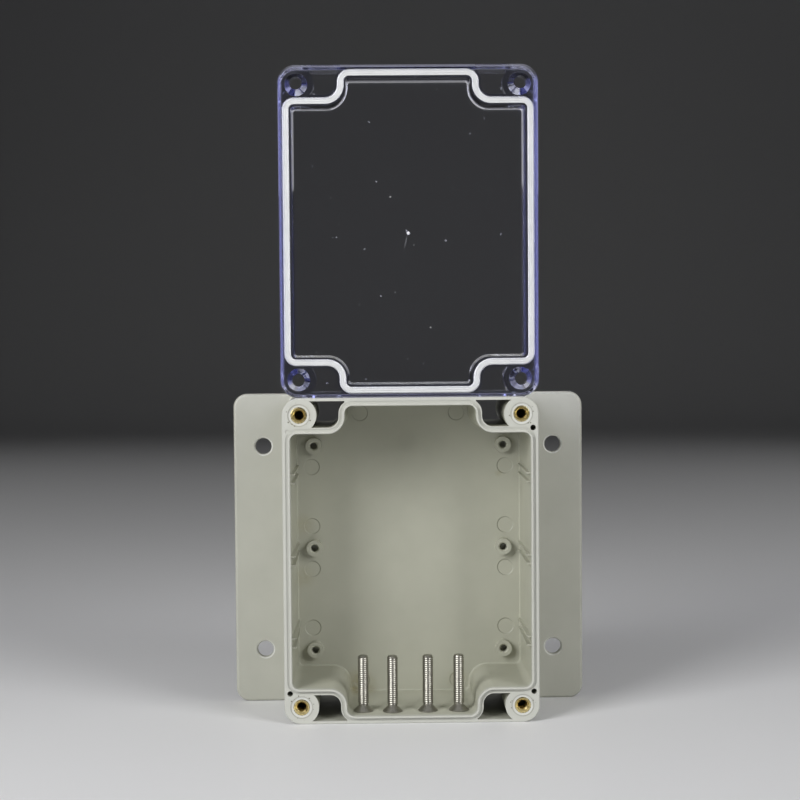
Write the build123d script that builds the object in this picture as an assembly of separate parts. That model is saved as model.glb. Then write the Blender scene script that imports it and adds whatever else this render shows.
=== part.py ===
from build123d import *
from math import radians, tan
import os

# Junction box standing upright with its opening toward the viewer.
# Each piece is drawn flat: X to the right, Y up the box, Z out of the opening,
# with the mating plane of base and cover at Z = 0. It is placed upright at the end.

# Outline of the box at the mating plane
BOX_WIDTH = 90.0
BOX_HEIGHT = 115.0
CORNER_R = 6.0
BASE_DEPTH = 42.0
OUTER_DRAFT = 0.3
RIM_CHAMFER = 0.3

# Back plate, which runs out sideways into the wall mounting ears
PLATE_THICK = 3.0
EAR_REACH = 19.8
EAR_CORNER_R = 5.0
EAR_EDGE_R = 1.0
EAR_ROOT_R = 0.8
EAR_HOLE_D = 6.0
EAR_HOLE_CHAMFER = 0.5
EAR_HOLE_INSET = 11.0
EAR_HOLE_FROM_END = 19.5
EAR_SPAN = BOX_WIDTH + 2 * EAR_REACH
EAR_HOLE_SPACING_X = EAR_SPAN - 2 * EAR_HOLE_INSET
EAR_HOLE_SPACING_Y = BOX_HEIGHT - 2 * EAR_HOLE_FROM_END

# Shallow relief in the middle of the back, inside a frame that touches the wall
BACK_FRAME_SIDE = 14.0
BACK_FRAME_END = 13.5
BACK_RELIEF_R = 4.0
BACK_RELIEF_DEPTH = 0.5

# Sealing rim, from the outside in: flat land, shallow groove, raised lip
LAND_WIDTH = 1.15
GROOVE_WIDTH = 0.85
GROOVE_DEPTH = 0.2
LIP_THICK = 0.8
LIP_HEIGHT = 1.0
LIP_CHAMFER = 0.2

# The seal line runs inside the screw posts: a wide middle and a narrower neck at each end
POST_ZONE = 12.5
RIM_WIDTH = LAND_WIDTH + GROOVE_WIDTH + LIP_THICK
WIDE_HALF_X = BOX_WIDTH / 2 - RIM_WIDTH
WIDE_HALF_Y = BOX_HEIGHT / 2 - POST_ZONE
WIDE_CORNER_R = 2.6
NECK_HALF_X = 23.0
NECK_HALF_Y = BOX_HEIGHT / 2 - RIM_WIDTH
NECK_CORNER_R = 2.7
STEP_R = 5.9

# Inside of the base
CAVITY_DEPTH = BASE_DEPTH - PLATE_THICK
CAVITY_DRAFT = 1.0
FLOOR_EDGE = 0.4

# Screw posts and the pockets beside them
POST_R = 6.15
SCREW_INSET = 6.0
SCREW_SPACING_X = BOX_WIDTH - 2 * SCREW_INSET
SCREW_SPACING_Y = BOX_HEIGHT - 2 * SCREW_INSET
POCKET_WALL = 2.1
POCKET_END_WALL = 1.05

# Brass threaded inserts
INSERT_D = 5.8
INSERT_LENGTH = 8.0
INSERT_BORE_D = 3.3
INSERT_CHAMFER = 0.4
INSERT_WAIST_D = 4.9
INSERT_WAIST_LENGTH = 0.9
FLUTE_COUNT = 8
FLUTE_WIDTH = 0.8
FLUTE_DEPTH = 0.25
SPOT_FACE_D = 7.6
SPOT_FACE_DEPTH = 0.3
INSERT_SEAT_CLEARANCE = 0.2
SCREW_TAIL_BORE_D = 4.4
SCREW_TAIL_BORE_DEPTH = 14.0

# Small blind holes beside the seal, with a dimple in place of the fourth
SIDE_HOLE_INSET = 2.0
SIDE_HOLE_PAST_STEP = 1.6
SIDE_HOLE_D = 2.0
SIDE_HOLE_DEPTH = 8.0
DIMPLE_D = 1.6
DIMPLE_DEPTH = 0.3
DIMPLE_SHIFT = 0.8

# Card guide ribs on the long inner walls
GUIDE_REACH = 1.5
GUIDE_THICK = 0.6
GUIDE_PITCH = 3.1
GUIDE_PAIR_SPACING = 29.0
GUIDE_START = 2.0
GUIDE_ROOT = 0.6

# Standoff bosses on the floor
BOSS_FROM_SIDE = 7.1
BOSS_FROM_STEP = 6.9
BOSS_SPACING_X = 2 * (WIDE_HALF_X - BOSS_FROM_SIDE)
BOSS_SPACING_Y = WIDE_HALF_Y - BOSS_FROM_STEP
BOSS_TOP_D = 5.9
BOSS_ROOT_D = 6.3
BOSS_HEIGHT = 3.0
BOSS_HOLE_D = 2.6
BOSS_HOLE_DEPTH = 4.5
BOSS_HOLE_CHAMFER = 0.5

# Clear cover
COVER_OVERHANG = 0.2
COVER_DEPTH = 13.0
COVER_PANEL = 2.5
COVER_DRAFT = 1.0
COVER_EDGE_R = 1.2
COVER_RIM_CHAMFER = 0.3
COVER_HOLLOW_DRAFT = 1.0
COVER_HOLLOW_SHRINK = 1.35
COVER_POCKET_WALL = 0.8
COVER_POCKET_END_WALL = 1.9
COVER_SIDE_HOLE_INSET = 2.6
COVER_SIDE_HOLE_PAST_STEP = 2.7
COVER_SIDE_HOLE_D = 2.2
COVER_SIDE_HOLE_DEPTH = 5.0
GATE_RECESS_D = 4.0
GATE_RECESS_DEPTH = 0.3
GATE_NUB_D = 1.5
GATE_NUB_HEIGHT = 0.2
SCREW_CLEARANCE_D = 4.4
HEAD_BORE_D = 8.7
HEAD_BORE_DEPTH = 5.5
HEAD_SEAT_D = 8.0

# Gasket and the channel that holds it, both centred on the lip
CHANNEL_WIDTH = 2.3
CHANNEL_DEPTH = 3.0
GASKET_SIDE_CLEARANCE = 0.02
GASKET_LIP_CLEARANCE = 0.05
GASKET_CHAMFER = 0.3

# Cover screws, countersunk, M4
SCREW_LENGTH = 20.0
SHANK_D = 3.95
SHANK_TIP_CHAMFER = 0.5
HEAD_D = 6.9
HEAD_RIM = 0.35
HEAD_RIM_CHAMFER = 0.15
HEAD_HEIGHT = 2.1
UNDERCUT_D = 3.5
UNDERCUT_LENGTH = 0.7
RECESS_SPAN = 3.8
RECESS_WIDTH = 1.0
RECESS_DEPTH = 1.5
RECESS_TAPER = 14.0

# Where the four loose screws stand on the lower inner wall, left to right
STANDING_SCREWS = {
    "cover_screw_1": (-17.3, 7.6),
    "cover_screw_2": (-6.9, 6.6),
    "cover_screw_3": (5.7, 7.2),
    "cover_screw_4": (16.7, 7.5),
}
STANDING_CLEARANCE = 0.02

# The cover stands on top of the base
STANDING_GAP = 0.1

RIM_Y = (LIP_HEIGHT - BASE_DEPTH) / 2
COVER_WIDTH = BOX_WIDTH + 2 * COVER_OVERHANG
COVER_HEIGHT = BOX_HEIGHT + 2 * COVER_OVERHANG
DOWN = (0, 0, -1)
SAME = 0.01
CORNERS = {"upper_left": (-1, 1), "upper_right": (1, 1), "lower_left": (-1, -1), "lower_right": (1, -1)}


def near(value, target):
    return abs(abs(value) - abs(target)) < SAME


def seal_outline(grow):
    """Inner edge of the lip, moved outward by grow; every sealing feature is cut from it."""
    wide_x, wide_y = WIDE_HALF_X + grow, WIDE_HALF_Y + grow
    neck_x, neck_y = NECK_HALF_X + grow, NECK_HALF_Y + grow
    outline = Rectangle(2 * wide_x, 2 * wide_y) + Rectangle(2 * neck_x, 2 * neck_y)
    steps = [v for v in outline.vertices() if near(v.X, neck_x) and near(v.Y, wide_y)]
    outline = fillet(steps, STEP_R - grow)
    outline = fillet([v for v in outline.vertices() if near(v.X, wide_x)], WIDE_CORNER_R + grow)
    outline = fillet([v for v in outline.vertices() if near(v.Y, neck_y)], NECK_CORNER_R + grow)
    return outline


def seal_ring(inner, outer):
    """Closed band along the seal line between two outward distances."""
    return seal_outline(outer) - seal_outline(inner)


def at_posts():
    """Places of the four screw posts."""
    return GridLocations(SCREW_SPACING_X, SCREW_SPACING_Y, 2, 2)


def disc_cut(diameter, depth, top):
    """Cylinder to cut away, reaching down by depth from the level top."""
    return Pos(0, 0, top - depth / 2) * Cylinder(diameter / 2, depth)


def mouth_cut(diameter, chamfer_size, top):
    """Cone that bevels the mouth of a round hole at the level top."""
    return Pos(0, 0, top - chamfer_size / 2) * Cone(diameter / 2, diameter / 2 + chamfer_size, chamfer_size)


def pocket_outlines(seal_wall, end_wall, half_height):
    """The four hollows between a screw post, the seal line and the end wall."""
    post_x, post_y = SCREW_SPACING_X / 2, SCREW_SPACING_Y / 2
    top = half_height - end_wall
    field = Rectangle(post_x - NECK_HALF_X, top - WIDE_HALF_Y, align=(Align.MIN, Align.MIN))
    pocket = Pos(NECK_HALF_X, WIDE_HALF_Y) * field
    pocket = pocket - seal_outline(seal_wall) - Pos(post_x, post_y) * Circle(POST_R)
    right = pocket + mirror(pocket, Plane.XZ)
    return right + mirror(right, Plane.YZ)


def drafted_block(outline, depth, draft):
    """Outline pushed down from the mating plane, narrowing with depth."""
    return extrude(outline, depth, dir=DOWN, taper=draft)


def hollow_block(outline, depth, draft):
    """Drafted block whose far edges are bevelled, to be cut out as a hollow."""
    block = drafted_block(outline, depth, draft)
    return chamfer(block.faces().sort_by(Axis.Z)[0].edges(), FLOOR_EDGE)


def back_plate():
    """Plate flush with the back of the box, with the ears and their holes."""
    outline = RectangleRounded(EAR_SPAN, BOX_HEIGHT, EAR_CORNER_R)
    plate = extrude(Pos(0, 0, -BASE_DEPTH) * outline, PLATE_THICK)
    plate = fillet(plate.faces().sort_by(Axis.Z)[-1].edges(), EAR_EDGE_R)
    hole = disc_cut(EAR_HOLE_D, PLATE_THICK, PLATE_THICK - BASE_DEPTH)
    hole += mouth_cut(EAR_HOLE_D, EAR_HOLE_CHAMFER, PLATE_THICK - BASE_DEPTH)
    return plate - GridLocations(EAR_HOLE_SPACING_X, EAR_HOLE_SPACING_Y, 2, 2) * hole


def outer_body():
    """Solid block of the base with the ears joined to it."""
    outline = RectangleRounded(BOX_WIDTH, BOX_HEIGHT, CORNER_R)
    block = drafted_block(outline, BASE_DEPTH, OUTER_DRAFT)
    block = chamfer(block.faces().sort_by(Axis.Z)[-1].edges(), RIM_CHAMFER)
    body = block + back_plate()
    level = PLATE_THICK - BASE_DEPTH
    straight_side = BOX_HEIGHT - 2 * CORNER_R
    roots = [e for e in body.edges() if near(e.center().Z, level) and e.length > straight_side - CORNER_R]
    roots = [e for e in roots if WIDE_HALF_X < abs(e.center().X) < BOX_WIDTH / 2]
    return fillet(roots, EAR_ROOT_R)


def card_guides():
    """Pairs of ribs that hold an upright board between the long walls."""
    length = CAVITY_DEPTH - GUIDE_START
    crest_to_root = GUIDE_REACH + GUIDE_ROOT
    middle_x = WIDE_HALF_X + GUIDE_ROOT - crest_to_root / 2
    rib = Pos(0, 0, -GUIDE_START - length / 2) * Box(crest_to_root, GUIDE_THICK, length)
    ribs = Part()
    for side in (-1, 1):
        for pair in (-1, 0, 1):
            for edge in (-0.5, 0.5):
                ribs += Pos(side * middle_x, pair * GUIDE_PAIR_SPACING + edge * GUIDE_PITCH) * rib
    return ribs


def floor_boss():
    """One tapered standoff on the floor."""
    return Pos(0, 0, BOSS_HEIGHT / 2 - CAVITY_DEPTH) * Cone(BOSS_ROOT_D / 2, BOSS_TOP_D / 2, BOSS_HEIGHT)


def insert_seat():
    """Stepped hole in a post: spot face, insert bore, room for the end of the screw."""
    bore_depth = SPOT_FACE_DEPTH + INSERT_LENGTH + INSERT_SEAT_CLEARANCE
    seat = disc_cut(SPOT_FACE_D, SPOT_FACE_DEPTH, 0)
    seat += disc_cut(INSERT_D, bore_depth, 0)
    return seat + disc_cut(SCREW_TAIL_BORE_D, SCREW_TAIL_BORE_DEPTH, 0)


def side_holes(x, y, diameter, depth, dimple_corner):
    """Three small blind holes beside the seal line and, nearer the middle, one dimple."""
    cuts = []
    for name, (side_x, side_y) in CORNERS.items():
        if name == dimple_corner:
            cuts.append(Pos(side_x * x, side_y * (y - DIMPLE_SHIFT)) * disc_cut(DIMPLE_D, DIMPLE_DEPTH, 0))
        else:
            cuts.append(Pos(side_x * x, side_y * y) * disc_cut(diameter, depth, 0))
    return cuts


def base_shell():
    """Moulded base: cavity, sealing rim, posts, pockets, bosses, guides and ears."""
    shell = outer_body()
    shell -= hollow_block(seal_outline(0), CAVITY_DEPTH, CAVITY_DRAFT)
    shell += GridLocations(BOSS_SPACING_X, BOSS_SPACING_Y, 2, 3) * floor_boss()
    shell += card_guides()
    lip = extrude(seal_ring(0, LIP_THICK), LIP_HEIGHT)
    shell += chamfer(lip.faces().sort_by(Axis.Z)[-1].edges(), LIP_CHAMFER)
    shell -= extrude(seal_ring(LIP_THICK, LIP_THICK + GROOVE_WIDTH), GROOVE_DEPTH, dir=DOWN)
    pockets = pocket_outlines(POCKET_WALL, POCKET_END_WALL, BOX_HEIGHT / 2)
    shell -= extrude(pockets, BASE_DEPTH, dir=DOWN)
    shell -= at_posts() * insert_seat()
    hole_x, hole_y = BOX_WIDTH / 2 - SIDE_HOLE_INSET, WIDE_HALF_Y + SIDE_HOLE_PAST_STEP
    shell -= side_holes(hole_x, hole_y, SIDE_HOLE_D, SIDE_HOLE_DEPTH, "upper_left")
    boss_top = BOSS_HEIGHT - CAVITY_DEPTH
    boss_hole = disc_cut(BOSS_HOLE_D, BOSS_HOLE_DEPTH, boss_top)
    boss_hole += mouth_cut(BOSS_HOLE_D, BOSS_HOLE_CHAMFER, boss_top)
    shell -= GridLocations(BOSS_SPACING_X, BOSS_SPACING_Y, 2, 3) * boss_hole
    relief_width, relief_height = BOX_WIDTH - 2 * BACK_FRAME_SIDE, BOX_HEIGHT - 2 * BACK_FRAME_END
    relief = RectangleRounded(relief_width, relief_height, BACK_RELIEF_R)
    return shell - extrude(Pos(0, 0, -BASE_DEPTH) * relief, BACK_RELIEF_DEPTH)


def threaded_insert():
    """Knurled brass bush with a waist between its two fluted bands."""
    top = -SPOT_FACE_DEPTH
    bush = disc_cut(INSERT_D, INSERT_LENGTH, top)
    flute_r = INSERT_D / 2 - FLUTE_DEPTH / 2
    flute = Pos(0, 0, top - INSERT_LENGTH / 2) * Box(FLUTE_DEPTH, FLUTE_WIDTH, INSERT_LENGTH)
    bush -= PolarLocations(flute_r, FLUTE_COUNT) * flute
    waist_level = top - (INSERT_LENGTH - INSERT_WAIST_LENGTH) / 2
    waist = disc_cut(INSERT_D + FLUTE_DEPTH, INSERT_WAIST_LENGTH, waist_level)
    bush -= waist - disc_cut(INSERT_WAIST_D, INSERT_WAIST_LENGTH, waist_level)
    bush -= disc_cut(INSERT_BORE_D, INSERT_LENGTH, top)
    return bush - mouth_cut(INSERT_BORE_D, INSERT_CHAMFER, top)


def screw_column_cut():
    """Screw hole through a corner of the cover, with the seat for the countersunk head."""
    bore_floor = HEAD_BORE_DEPTH - COVER_DEPTH
    seat_height = (HEAD_SEAT_D - SCREW_CLEARANCE_D) / 2
    cut = disc_cut(SCREW_CLEARANCE_D, COVER_DEPTH, 0)
    cut += disc_cut(HEAD_BORE_D, HEAD_BORE_DEPTH, bore_floor)
    seat = Cone(HEAD_SEAT_D / 2, SCREW_CLEARANCE_D / 2, seat_height)
    return cut + Pos(0, 0, bore_floor + seat_height / 2) * seat


def clear_cover():
    """Moulded clear cover with the gasket channel that mirrors the lip of the base."""
    outline = RectangleRounded(COVER_WIDTH, COVER_HEIGHT, CORNER_R + COVER_OVERHANG)
    cover = drafted_block(outline, COVER_DEPTH, COVER_DRAFT)
    cover = fillet(cover.faces().sort_by(Axis.Z)[0].edges(), COVER_EDGE_R)
    cover = chamfer(cover.faces().sort_by(Axis.Z)[-1].edges(), COVER_RIM_CHAMFER)
    hollow_depth = COVER_DEPTH - COVER_PANEL
    hollow = seal_outline(-COVER_HOLLOW_SHRINK)
    cover -= hollow_block(hollow, hollow_depth, COVER_HOLLOW_DRAFT)
    channel_outer = (LIP_THICK + CHANNEL_WIDTH) / 2
    cover -= extrude(seal_ring(channel_outer - CHANNEL_WIDTH, channel_outer), CHANNEL_DEPTH, dir=DOWN)
    seal_wall = channel_outer + COVER_POCKET_WALL
    pockets = pocket_outlines(seal_wall, COVER_POCKET_END_WALL, COVER_HEIGHT / 2)
    cover -= extrude(pockets, hollow_depth, dir=DOWN)
    cover -= at_posts() * screw_column_cut()
    hole_x, hole_y = BOX_WIDTH / 2 - COVER_SIDE_HOLE_INSET, WIDE_HALF_Y + COVER_SIDE_HOLE_PAST_STEP
    cover -= side_holes(hole_x, hole_y, COVER_SIDE_HOLE_D, COVER_SIDE_HOLE_DEPTH, "lower_left")
    gate_floor = GATE_RECESS_DEPTH - COVER_DEPTH
    cover -= disc_cut(GATE_RECESS_D, GATE_RECESS_DEPTH, gate_floor)
    return cover + disc_cut(GATE_NUB_D, GATE_NUB_HEIGHT, gate_floor)


def cover_gasket():
    """Closed rubber ring lying at the bottom of the cover's channel."""
    outer = (LIP_THICK + CHANNEL_WIDTH) / 2 - GASKET_SIDE_CLEARANCE
    inner = (LIP_THICK - CHANNEL_WIDTH) / 2 + GASKET_SIDE_CLEARANCE
    height = CHANNEL_DEPTH - LIP_HEIGHT - GASKET_LIP_CLEARANCE
    ring = Pos(0, 0, -CHANNEL_DEPTH) * extrude(seal_ring(inner, outer), height)
    return chamfer(ring.faces().sort_by(Axis.Z)[-1].edges(), GASKET_CHAMFER)


def cover_screw():
    """Countersunk machine screw standing on its head, with a cross recess underneath."""
    head_r, shank_r, neck_r = HEAD_D / 2, SHANK_D / 2, UNDERCUT_D / 2
    neck_top = HEAD_HEIGHT + UNDERCUT_LENGTH
    profile = Polyline(
        (0, 0),
        (head_r - HEAD_RIM_CHAMFER, 0),
        (head_r, HEAD_RIM_CHAMFER),
        (head_r, HEAD_RIM),
        (neck_r, HEAD_HEIGHT),
        (neck_r, neck_top),
        (shank_r, neck_top + shank_r - neck_r),
        (shank_r, SCREW_LENGTH - SHANK_TIP_CHAMFER),
        (shank_r - SHANK_TIP_CHAMFER, SCREW_LENGTH),
        (0, SCREW_LENGTH),
        (0, 0),
    )
    screw = revolve(Plane.XZ * make_face(profile), Axis.Z)
    slot = extrude(Rectangle(RECESS_SPAN, RECESS_WIDTH), RECESS_DEPTH, taper=RECESS_TAPER)
    return screw - slot - Rot(0, 0, 90) * slot


def lower_wall(depth):
    """Height of the lower inner wall at a depth behind the mating plane, in flat drawing."""
    return depth * tan(radians(CAVITY_DRAFT)) - NECK_HALF_Y


def upright(height):
    """Turns a flat drawing upright, its centre at the given height above the ground."""
    return Plane(origin=(0, RIM_Y, height), x_dir=(1, 0, 0), z_dir=(0, -1, 0)).location


def save(name, solid):
    solid.label = name
    export_step(solid, f"parts/{name}.step")


base_place = upright(BOX_HEIGHT / 2)
cover_place = upright(BOX_HEIGHT + STANDING_GAP + COVER_HEIGHT / 2)

save("base_shell", base_place * base_shell())
save("clear_cover", cover_place * clear_cover())
save("cover_gasket", cover_place * cover_gasket())

for corner, (side_x, side_y) in CORNERS.items():
    post = Pos(side_x * SCREW_SPACING_X / 2, side_y * SCREW_SPACING_Y / 2)
    save(f"threaded_insert_{corner}", base_place * post * threaded_insert())

for screw_name, (screw_x, screw_depth) in STANDING_SCREWS.items():
    foot = Pos(screw_x, lower_wall(screw_depth) + STANDING_CLEARANCE, -screw_depth)
    save(screw_name, base_place * foot * Rot(CAVITY_DRAFT - 90, 0, 0) * cover_screw())
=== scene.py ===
from math import ceil, cos, pi, radians, sin

import bmesh
import bpy
from mathutils import Matrix, Vector


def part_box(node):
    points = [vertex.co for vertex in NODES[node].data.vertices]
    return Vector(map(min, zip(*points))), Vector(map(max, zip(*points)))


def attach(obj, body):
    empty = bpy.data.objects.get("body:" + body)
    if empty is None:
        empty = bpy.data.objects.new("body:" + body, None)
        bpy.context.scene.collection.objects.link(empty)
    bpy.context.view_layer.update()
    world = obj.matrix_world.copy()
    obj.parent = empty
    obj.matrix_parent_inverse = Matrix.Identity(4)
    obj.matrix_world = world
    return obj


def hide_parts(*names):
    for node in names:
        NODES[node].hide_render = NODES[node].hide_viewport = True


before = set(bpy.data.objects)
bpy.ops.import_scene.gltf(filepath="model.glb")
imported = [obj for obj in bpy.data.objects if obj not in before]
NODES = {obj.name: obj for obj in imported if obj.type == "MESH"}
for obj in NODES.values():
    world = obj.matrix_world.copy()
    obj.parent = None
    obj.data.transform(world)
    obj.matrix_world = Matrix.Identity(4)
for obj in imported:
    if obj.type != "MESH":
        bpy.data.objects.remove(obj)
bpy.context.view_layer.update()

# Junction box seen from the front, its clear cover standing on top of it.
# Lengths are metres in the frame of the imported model: X right, Y away from the viewer, Z up.

MM = 0.001

# Meshes: points closer than this are one, and edges sharper than this aren't smoothed
MERGE = 1e-7
SHARP_ANGLE = radians(35.0)
SCREW_SHARP_ANGLE = radians(43.5)

# Camera, fitted to the photograph's 800 x 800 frame
IMAGE_SIDE = 800
FOCAL_PIXELS = 1750.4
SENSOR = 36.0
CAMERA_PLACE = Vector((-0.0139, -0.6314, 0.1431))
CAMERA_YAW = radians(0.97)
CAMERA_DROP = radians(2.713)
CAMERA_ROLL = radians(-0.44)
CAMERA_CLIP = (0.01, 20.0)

# Soft boxes aimed at one point: name, turn from straight in front of the box and rise above it in degrees,
# distance, width and height, power in watts, and beam in degrees
LIGHT_TARGET = Vector((0.0, 0.0, 0.11))
SOFT_BOXES = (
    ("left_soft_box", -42, 23, 0.72, (0.34, 0.44), 1.74, 110),
    ("right_soft_box", 44, 23, 0.76, (0.34, 0.44), 1.12, 110),
    ("top_soft_box", 0, 68, 0.85, (0.9, 0.5), 0.30, 120),
    ("rear_top_soft_box", 168, 38, 1.45, (1.8, 1.0), 0.55, 120),
    ("rear_left_soft_box", -140, 25, 1.4, (1.2, 0.9), 0.5, 120),
    ("rear_right_soft_box", 140, 25, 1.4, (1.2, 0.9), 0.5, 120),
)
WORLD_COLOUR = (0.95, 0.97, 1.0, 1.0)
WORLD_STRENGTH = 0.012

# Studio floor, which bends up into a backdrop behind the box
STUDIO_HALF_WIDTH = 4.0
STUDIO_FRONT = -2.2
STUDIO_BEND_START = 1.6
STUDIO_BEND_R = 1.0
STUDIO_BEND_STEPS = 16
STUDIO_TOP = 3.6
STUDIO_COLOUR = (0.80, 0.80, 0.81, 1.0)
STUDIO_ROUGHNESS = 0.55

# Cover screws, M4, standing on their heads on the sloping lower wall, each turned about its axis in radians
SCREW_TILT = radians(1.0)
SCREW_LENGTH = 20.0 * MM
SCREW_SIDES = 40
SCREW_TURNS = {"cover_screw_1": 0.1, "cover_screw_2": 1.0, "cover_screw_3": 0.6, "cover_screw_4": 1.7}
HEAD_R = 3.45 * MM
HEAD_RIM = 0.35 * MM
HEAD_EDGE = 0.15 * MM
HEAD_HEIGHT = 2.1 * MM
UNDERCUT_R = 1.70 * MM
UNDERCUT_TOP = 2.6 * MM
TIP_CHAMFER = 0.5 * MM

# Threads: shares of the pitch that crest and root take, turns counted past each end and flattened there, and
# how fast the thread grows out of the screw's undercut
THREAD_PITCH = 0.7 * MM
THREAD_CREST_R = 1.96 * MM
THREAD_ROOT_R = 1.70 * MM
THREAD_CREST_SHARE = 0.10
THREAD_ROOT_SHARE = 0.10
SPARE_TURNS = 2
RUN_OUT_SLOPE = 1.5

# Cross recess under each head: half span and half width at the face, how much both lose at the bottom, and
# how many points of the head's rim belong to half an arm
ARMS = 4
CORNERS_PER_ARM = 3
CROSS_CORNERS = ARMS * CORNERS_PER_ARM
RECESS_REACH = 1.9 * MM
RECESS_HALF = 0.5 * MM
RECESS_DEPTH = 1.5 * MM
RECESS_LOSS = 0.37 * MM
RECESS_EDGE_STEP = 2

# Threaded inserts
INSERT_R = 2.87 * MM
KNURL_DEPTH = 0.22 * MM
KNURL_REPEAT = 3
WAIST_R = 2.45 * MM
WAIST_LENGTH = 0.9 * MM
BORE_CREST_R = 1.72 * MM
BORE_ROOT_R = 2.02 * MM
BORE_MOUTH = 0.5 * MM
INSERT_RIM = 0.06 * MM
INSERT_SIDES = 48

# Seal line of the cover along the gasket's middle: wide middle, narrower neck at each end
SEAL_END_STEP = 9.7 * MM
SEAL_NECK_HALF_X = 23.4 * MM
SEAL_WIDE_R = 3.0 * MM
SEAL_NECK_R = 3.1 * MM
SEAL_STEP_R = 5.5 * MM
ARC_STEPS = 14

# Gasket section: its height comes from its box, less a film of air under it so that it shows through the
# clear channel; two faint creases run along its face
GASKET_WIDTH = 2.26 * MM
GASKET_BEVEL = 0.3 * MM
GASKET_AIR = 0.03 * MM
CREASE_AT = 0.36 * MM
CREASE_HALF = 0.1 * MM
CREASE_DEPTH = 0.07 * MM

# Cavity of the base: plate under its floor, half its width and height at the walls' middle, over what length
# its painted warm bounce light fades past them, and how far behind the floor's face the floor's marks still
# show
FLOOR_FROM_BACK = 3.0 * MM
CAVITY_HALF_X = 42.0 * MM
CAVITY_HALF_Z = 55.0 * MM
CAVITY_FADE = 1.0 * MM
FLOOR_BAND = 0.3 * MM

# Noise is spread from its middle range, where most of its values lie
NOISE_ROUGHNESS = 0.55
NOISE_FROM, NOISE_TO = 0.3, 0.7

# Painted marks fade past their edges over this much; a dot or a line is solid up to its share of the radius
MARK_FADE = 0.1 * MM
DOT_CORE = 0.7
LINE_CORE = 0.3

# Shell: colours, linear, sizes of its clouds, specks, grain and sink marks, and depths of its relief
SHELL_DARK = (0.435, 0.437, 0.378)
SHELL_LIGHT = (0.465, 0.467, 0.405)
SHELL_CLOUD = 14.0 * MM
SHELL_SPECK = (0.34, 0.335, 0.29)
SHELL_SPECK_SIZE = 0.5 * MM
SHELL_SPECK_RANGE = (0.66, 0.80)
SHELL_SPECK_SHARE = 0.4
SHELL_ROUGHNESS = (0.36, 0.48)
SHELL_GRAIN = 0.25 * MM
SHELL_GRAIN_DEPTH = 0.004 * MM
SHELL_SINK = 18.0 * MM
SHELL_SINK_DEPTH = 0.12 * MM
SHELL_IOR = 1.53
# Warmer tint painted inside the cavity, standing in for the light the plastic bounces onto itself
CAVITY_BOUNCE_TINT = (1.0, 1.0, 0.955)

# Stains on the shell: place, reach and strength; a stain is full up to its core's share of its reach
STAIN_COLOUR = (0.33, 0.29, 0.15)
STAIN_CLOUD = 1.6 * MM
STAIN_CLOUD_RANGE = (0.35, 0.65)
STAIN_THINNEST = 0.4
STAIN_CORE = 0.2
STAINS = (
    ((-0.0195, 0.0185, 0.0045), 8.0 * MM, 0.8),
    ((-0.0392, 0.0185, 0.0660), 5.0 * MM, 0.35),
    ((-0.0392, 0.0185, 0.0468), 5.0 * MM, 0.35),
    ((0.0335, 0.0185, 0.0848), 1.6 * MM, 0.6),
    ((0.0179, 0.0185, 0.0074), 5.0 * MM, 0.3),
    ((-0.0390, -0.0205, 0.1090), 5.0 * MM, 0.35),
)

# The rim gets a painted highlight, lighter than the rest: how much, and where that fades, behind the front
# of the base
RIM_HIGHLIGHT_COLOUR = (0.53, 0.535, 0.50)
RIM_HIGHLIGHT_SHARE = 0.7
RIM_HIGHLIGHT_FROM = 1.6 * MM
RIM_HIGHLIGHT_TO = 3.0 * MM

# Painted shade line at the edge of each insert's spot face, and specks of dirt around it, on the face of its
# post
DIRT_AND_SHADE_COLOUR = (0.09, 0.08, 0.05)
POST_FACE_BAND = 0.5 * MM
SPOT_FACE_R = 3.85 * MM
SPOT_SHADE_HALF = 0.2 * MM
SPOT_SHADE_SHARE = 0.35
SPECK_RING_R = 4.1 * MM
SPECK_RING_HALF = 0.42 * MM
SPECK_CELL = 1.25 * MM
SPECK_R = 0.3 * MM
SPECK_DARK_RANGE = (0.3, 0.6)

# Painted highlights on moulded edges: around each insert's seat, and around each ear hole, whose place is
# counted from the middle of the base
EDGE_HIGHLIGHT_COLOUR = (0.62, 0.625, 0.585)
EDGE_HIGHLIGHT_FADE = 0.25 * MM
SEAT_HIGHLIGHT_R = 3.55 * MM
EAR_HOLE_X = 53.8 * MM
EAR_HOLE_Z = 38.0 * MM
EAR_HIGHLIGHT_R = 3.4 * MM

# Ejector pin marks on the floor, as distances from its middle: each circle is a thin mark of dirt and
# painted shade of its recessed edge, dark on the side toward the middle and faint on its outer side
PIN_MARKS = ((36.0 * MM, 30.1 * MM), (36.0 * MM, 8.0 * MM), (17.9 * MM, 50.1 * MM))
PIN_MARK_R = 2.9 * MM
PIN_MARK_AND_SHADE_COLOUR = (0.25, 0.24, 0.19)
PIN_LINE_HALF = 0.26 * MM
PIN_MARK_AND_SHADE_SHARE = 0.5
PIN_LIT_SIDE_SHARE = 0.15
PIN_SHADE_SIDE_FADE = 0.4 * PIN_MARK_R
PIN_EDGE_FADE = 0.15 * MM
PIN_RELIEF = -0.2 * MM

# Clear plastic: its tint at the surface and through its depth, the tint of lamp light that passes it, its
# haze, and its ripples
COVER_TINT = (0.985, 0.985, 1.0)
COVER_DEPTH_TINT = (0.56, 0.60, 0.93, 1.0)
COVER_DEPTH_DENSITY = 45.0
SHADOW_TINT = (0.72, 0.72, 0.75)
COVER_IOR = 1.585
COVER_HAZE = 6.0 * MM
COVER_ROUGHNESS = (0.015, 0.05)
COVER_RIPPLE = 16.0 * MM
COVER_RIPPLE_DEPTH = 0.05 * MM

# Violet glow of the cover's outer walls: how far in it reaches, its colour, how milky it is, and the share
# of it that the top and bottom walls have
EDGE_GLOW_REACH = 1.2 * MM
EDGE_GLOW_TINT = (0.50, 0.52, 0.98)
EDGE_MILK = 0.2
EDGE_END_SHARE = 0.15

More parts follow.
